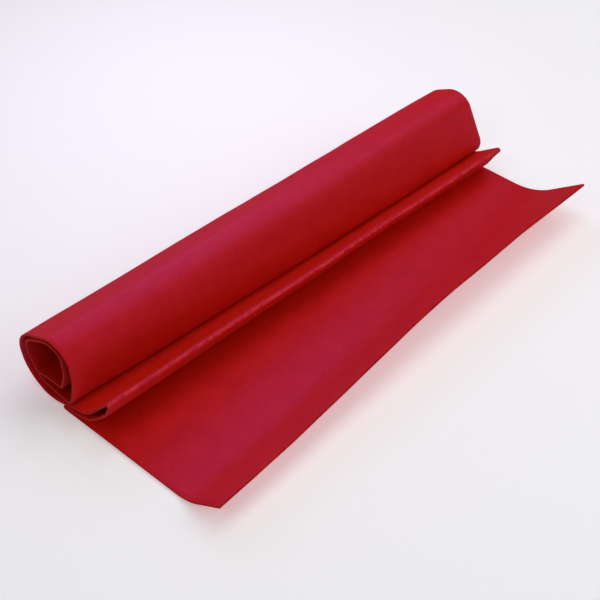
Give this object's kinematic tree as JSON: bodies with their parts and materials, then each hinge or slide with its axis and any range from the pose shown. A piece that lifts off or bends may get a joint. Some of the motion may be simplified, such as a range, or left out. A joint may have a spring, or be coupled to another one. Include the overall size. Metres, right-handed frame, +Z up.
{
  "type": "roll of felt",
  "caption": "Soft red craft felt, loosely rolled from one cut sheet and lying on its own loose end, with a raised pleat beside the roll and a curled free edge.",
  "frame": {"origin": "middle of the part's box, on the surface that it lies on, under the loose end", "axes": "+X along the roll from the near end to the far end, +Z up, and the loose end lies towards -Y"},
  "size_m": [0.5, 0.2326, 0.0779],
  "materials": {
    "felt": "matte pressed felt with a soft fibrous surface"
  },
  "bodies": {
    "root": {"felt": "felt"}
  },
  "joints": []
}
